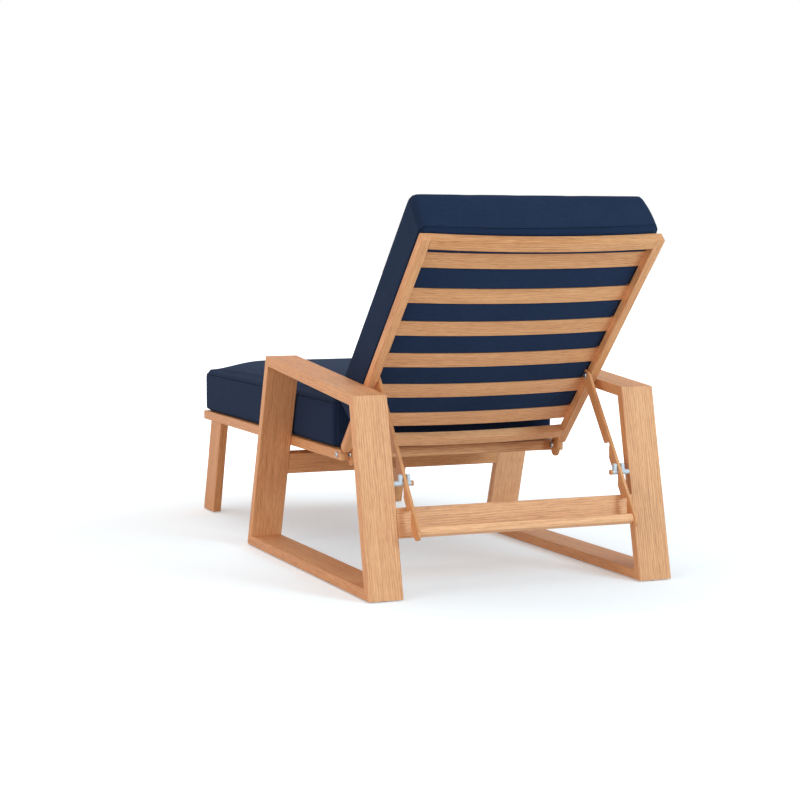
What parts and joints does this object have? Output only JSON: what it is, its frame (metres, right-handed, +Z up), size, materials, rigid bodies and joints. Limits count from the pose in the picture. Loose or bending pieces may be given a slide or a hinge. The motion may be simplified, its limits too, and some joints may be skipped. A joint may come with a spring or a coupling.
{
  "type": "outdoor chaise lounge",
  "caption": "Wooden outdoor chaise lounge with closed loop sides, a slatted folding back held by a notched prop, and thick navy cushions.",
  "frame": {"origin": "on the floor under the middle of the lounge's outline, between the two loop sides", "axes": "+X to the sitter's left across the lounge, +Y from the foot end to the back, +Z up"},
  "size_m": [0.8, 1.732, 0.9396],
  "materials": {
    "frame_wood": "satin oiled",
    "slat_wood": "satin oiled",
    "navy_fabric": "matte woven",
    "white_plastic": "matte",
    "black_plastic": "matte",
    "bolt_steel": "satin"
  },
  "bodies": {
    "base": {"loop_left_top": "frame_wood", "loop_left_front": "frame_wood", "loop_left_rear": "frame_wood", "loop_left_floor": "frame_wood", "loop_right_top": "frame_wood", "loop_right_front": "frame_wood", "loop_right_rear": "frame_wood", "loop_right_floor": "frame_wood", "glides_left": "black_plastic", "glides_right": "black_plastic", "glides_foot": "black_plastic", "seat_rail_left": "frame_wood", "seat_rail_right": "frame_wood", "seat_foot_rail": "frame_wood", "seat_cross_rail": "frame_wood", "seat_ledge_left": "frame_wood", "seat_ledge_right": "frame_wood", "seat_slat_1": "slat_wood", "seat_slat_2": "slat_wood", "seat_slat_3": "slat_wood", "seat_slat_4": "slat_wood", "seat_slat_5": "slat_wood", "seat_slat_6": "slat_wood", "seat_slat_7": "slat_wood", "foot_leg_left": "frame_wood", "foot_leg_right": "frame_wood", "seat_stretcher": "frame_wood", "rear_stretcher": "frame_wood", "peg_left": "frame_wood", "peg_right": "frame_wood", "sleeve_left": "white_plastic", "sleeve_right": "white_plastic", "frame_bolts": "bolt_steel", "hinge_lug_left": "frame_wood", "hinge_lug_right": "frame_wood", "hinge_bolts": "bolt_steel", "seat_cushion": "navy_fabric"},
    "back": {"back_rail_left": "frame_wood", "back_rail_right": "frame_wood", "back_top_rail": "frame_wood", "back_bottom_rail": "frame_wood", "back_slat_1": "slat_wood", "back_slat_2": "slat_wood", "back_slat_3": "slat_wood", "back_slat_4": "slat_wood", "back_slat_5": "slat_wood", "back_slat_6": "slat_wood", "ear_left": "frame_wood", "ear_right": "frame_wood", "prop_bolts": "bolt_steel", "back_cushion": "navy_fabric"},
    "prop": {"prop_arm_left": "frame_wood", "prop_arm_right": "frame_wood", "prop_crossbar": "frame_wood"}
  },
  "joints": [
    {"name": "back_recline", "type": "hinge", "parent": "base", "child": "back", "pos_m": [0, 0.349, 0.298], "axis": [1, 0, 0], "range_deg": [0, 18]},
    {"name": "prop_swing", "type": "hinge", "parent": "back", "child": "prop", "pos_m": [0, 0.52215, 0.49281], "axis": [1, 0, 0], "range_deg": [0, 92]}
  ]
}
